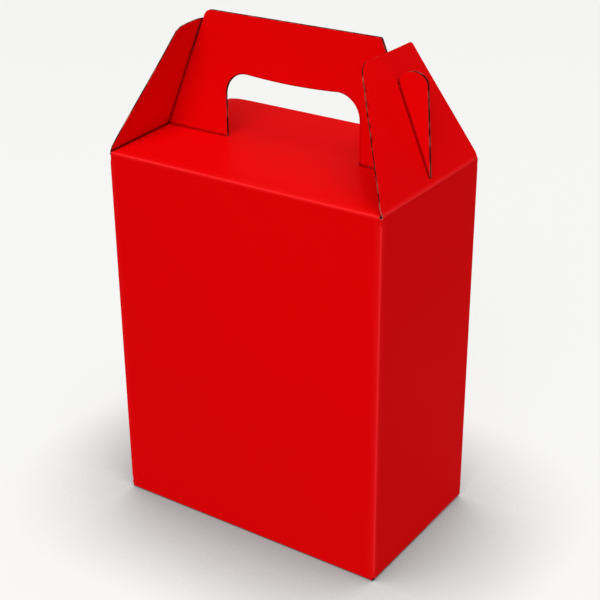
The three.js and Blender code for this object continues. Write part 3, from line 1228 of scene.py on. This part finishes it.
@dataclass(frozen=True)
class RedCard:
    """Smooth satin card, dyed red on both faces, with a highlight painted paler on its creases and
    shade painted darker in its hollow crease and gaps.
    """

    base: tuple = linear(232, 4, 7)
    deep: tuple = linear(224, 2, 5)
    # Colour of the highlight painted on the raised creases.
    folded: tuple = linear(255, 52, 56)
    # Colour of the shade painted into the hollow crease and into the gaps between parts.
    painted_shade: tuple = linear(96, 1, 2)
    roughness: float = 0.48
    roughness_range: float = 0.08
    sheen_level: float = 0.01
    sheen_tint: tuple = (1.0, 0.05, 0.06, 1.0)
    # Reach of the occlusion that paints shade into gaps where parts nearly touch.
    gap_shade_reach: float = 0.0012
    cloud_cells: float = 38.0
    fibre_cells: float = 2600.0
    grain_cells: float = 900.0
    cloud_share: float = 0.6
    least_highlight: float = 0.35
    grain_highlight: float = 0.5

    def material(self) -> bpy.types.Material:
        """Mixes two reds by a cloudy pattern, with a highlight painted paler on creases and shade
        painted darker in hollows and gaps.

        Returns:
            The material.
        """
        nodes = Nodes(bpy.data.materials.new("red_card"))
        cloud = nodes.noise(self.cloud_cells, detail=3.0)
        fibre = nodes.noise(self.fibre_cells, detail=4.0)
        crease = nodes.add("ShaderNodeAttribute", {"attribute_name": "crease"}, {}, "Fac")
        grain = nodes.noise(self.grain_cells, detail=2.0)
        pattern = cloud * self.cloud_share + fibre * (1 - self.cloud_share)
        tone = nodes.mix(pattern, self.deep, self.base)
        ridge = crease.math("MAXIMUM", crease, 0.0)
        hollow = crease.math("MAXIMUM", -1.0 * crease, 0.0)
        # Painted highlight on the raised creases, broken up by the grain.
        painted_highlight = ridge * ridge * (self.least_highlight + self.grain_highlight * grain)
        # Painted shade darkens the hollow crease.
        colour = nodes.mix(hollow, nodes.mix(painted_highlight, tone, self.folded), self.painted_shade)
        # Painted shade in the gaps where parts nearly touch, from the occlusion close by.
        open_share = nodes.open_share(self.gap_shade_reach)
        colour = nodes.mix(open_share * open_share, self.painted_shade, colour)
        roughness = self.roughness + self.roughness_range * fibre
        relief = {"Strength": 0.12, "Distance": 0.00004, "Height": fibre + 0.5 * grain}
        bump = nodes.add("ShaderNodeBump", {}, relief)
        values = {
            "Base Color": colour,
            "Roughness": roughness,
            "Normal": bump,
            "Specular IOR Level": self.sheen_level,
            "Specular Tint": self.sheen_tint,
        }
        return nodes.finish(nodes.add("ShaderNodeBsdfPrincipled", {}, values))


@dataclass(frozen=True)
class CutEdge:
    """The card's cut edges: painted dark for the shade in the narrow gaps along them, pale where a
    shred of the core stands out.
    """

    pale: tuple = linear(176, 84, 74)
    # Dark colour painted for the shade in the gaps along the cut edges.
    edge_shade: tuple = linear(30, 8, 8)
    contrast: float = 5.0
    shift: float = -2.25
    fibre_cells: float = 1800.0
    shred_cells: float = 190.0

    def material(self) -> bpy.types.Material:
        """Mixes the painted edge shade and the core's pale shreds by a patchy pattern.

        Returns:
            The material.
        """
        nodes = Nodes(bpy.data.materials.new("cut_edge"))
        fibre = nodes.noise(self.fibre_cells, detail=4.0)
        bare = nodes.noise(self.shred_cells, detail=2.0) * self.contrast + self.shift
        colour = nodes.mix(bare, self.edge_shade, self.pale)
        relief = {"Strength": 0.3, "Distance": 0.00005, "Height": fibre}
        values = {
            "Base Color": colour,
            "Roughness": 0.9,
            "Normal": nodes.add("ShaderNodeBump", {}, relief),
            "Specular IOR Level": 0.1,
        }
        return nodes.finish(nodes.add("ShaderNodeBsdfPrincipled", {}, values))


@dataclass(frozen=True)
class PaleFloor:
    """The plain floor: white paper that keeps the box's shadow, clear from below.

    The camera sees it pale, and the box gets the light of a duller floor.
    """

    # Colour of the shadow painted into the floor's glow next to the box.
    painted_shadow: tuple = linear(86, 83, 81)
    bounced: tuple = (0.45, 0.45, 0.45, 1.0)
    glow: float = 0.86
    shade_reach: float = 0.06

    def material(self) -> bpy.types.Material:
        """Mixes paper with a glow of its own, both darker the closer the box is: the paper by the
        lamps' shadow, the glow by a shadow painted into its colour.

        Returns:
            The material.
        """
        nodes = Nodes(bpy.data.materials.new("pale_floor"))
        # Painted shadow: the glow's colour darkens with the occlusion near the box.
        open_share = nodes.open_share(self.shade_reach)
        tint = nodes.mix(open_share * open_share, self.painted_shadow, WHITE)
        paper = nodes.add("ShaderNodeBsdfDiffuse", {}, {"Color": WHITE})
        light = nodes.add("ShaderNodeEmission", {}, {"Color": tint, "Strength": 1.0})
        dull = nodes.add("ShaderNodeBsdfDiffuse", {}, {"Color": self.bounced})
        above = nodes.either(nodes.pale_rays(), dull, nodes.either(self.glow, paper, light))
        below = nodes.add("ShaderNodeNewGeometry", {}, {}, "Backfacing")
        clear = nodes.add("ShaderNodeBsdfTransparent", {}, {})
        return nodes.finish(nodes.either(below, above, clear))


@dataclass
class Studio:
    """The floor, the soft light and the camera."""

    camera_place: tuple = (0.27257, -0.39728, 0.32246)
    azimuth: float = math.radians(34.15)
    elevation: float = math.radians(25.81)
    roll: float = math.radians(-0.38)
    lens: float = 81.48
    floor_size: float = 12.0
    floor_gap: float = 0.0001
    floor_inset: float = 0.002
    sky: float = 0.66
    lamp_aim: tuple = (0.0, 0.0, 0.12)

    def build(self) -> None:
        """Sets up everything that isn't the box."""
        self.floor()
        self.world()
        self.lamp("key", place=(0.15, -1.35, 0.95), size=0.9, power=10.0)
        self.lamp("overhead", place=(0.62, -0.28, 1.6), size=0.9, power=10.0)
        self.camera()
        bpy.context.scene.view_settings.view_transform = "Standard"

    def floor(self) -> None:
        """Lays the floor round the box, open under it so that its bottom gets light."""
        outer = (self.floor_size / 2, self.floor_size / 2)
        inner = [half * MM - self.floor_inset for half in (BOX.half_width, BOX.half_depth)]
        around = ((-1, -1), (1, -1), (1, 1), (-1, 1))
        corners = [(i * x, j * y, -self.floor_gap) for x, y in (outer, inner) for i, j in around]
        mesh = bpy.data.meshes.new("floor")
        faces = [(k, (k + 1) % 4, (k + 1) % 4 + 4, k + 4) for k in range(4)]
        mesh.from_pydata(corners, [], faces)
        mesh.materials.append(PaleFloor().material())
        floor = linked("floor", mesh)

    def world(self) -> None:
        """Lights the box evenly from all round and shows a pale background."""
        nodes = Nodes(bpy.data.worlds.new("studio"))
        soft = nodes.add("ShaderNodeBackground", {}, {"Strength": self.sky})
        seen = nodes.add("ShaderNodeBackground", {}, {"Color": WHITE})
        shader = nodes.either(nodes.pale_rays(), soft, seen)
        bpy.context.scene.world = nodes.finish(shader, "ShaderNodeOutputWorld")

    def lamp(self, name: str, place: tuple, size: float, power: float) -> None:
        """Hangs a square soft box that faces the box's middle.

        Args:
            name: of the lamp.
            place: in metres.
            size: of its side.
            power: in watts.
        """
        light = bpy.data.lights.new(name, "AREA")
        light.size = size
        light.energy = power
        lamp = linked(name, light)
        lamp.location = place
        aim = Vector(self.lamp_aim) - Vector(place)
        lamp.rotation_euler = aim.to_track_quat("-Z", "Y").to_euler()

    def camera(self) -> None:
        """Puts the camera where the photograph was taken from."""
        data = bpy.data.cameras.new("camera")
        data.lens = self.lens
        data.sensor_width = 36.0
        data.clip_start = 0.01
        camera = linked("camera", data)
        turns = ((self.azimuth, "Z"), (math.pi / 2 - self.elevation, "X"), (self.roll, "Z"))
        place = Matrix.Translation(self.camera_place)
        for angle, axis in turns:
            place = place @ Matrix.Rotation(angle, 4, axis)
        camera.matrix_world = place
        bpy.context.scene.camera = camera


def main() -> None:
    """Builds the box and its studio, piece by piece."""
    logging.basicConfig(level=logging.INFO, format="%(name)s: %(message)s")
    Studio().build()
    finishes = [RedCard().material(), CutEdge().material()]
    pieces = Carton(finishes).build()
    pieces.append(EndFlap(Panel.RIGHT, finishes, front_curl=1.1, back_curl=0.6).build())
    left = EndFlap(Panel.LEFT, finishes, front_curl=1.5, back_curl=0.8, stretch=1.2, slit_top=36.2)
    pieces.append(left.build())
    for piece in pieces:
        points, faces = len(piece.data.vertices), len(piece.data.polygons)
        LOG.info("%s: %d points, %d faces", piece.name, points, faces)


if __name__ == "__main__":
    main()
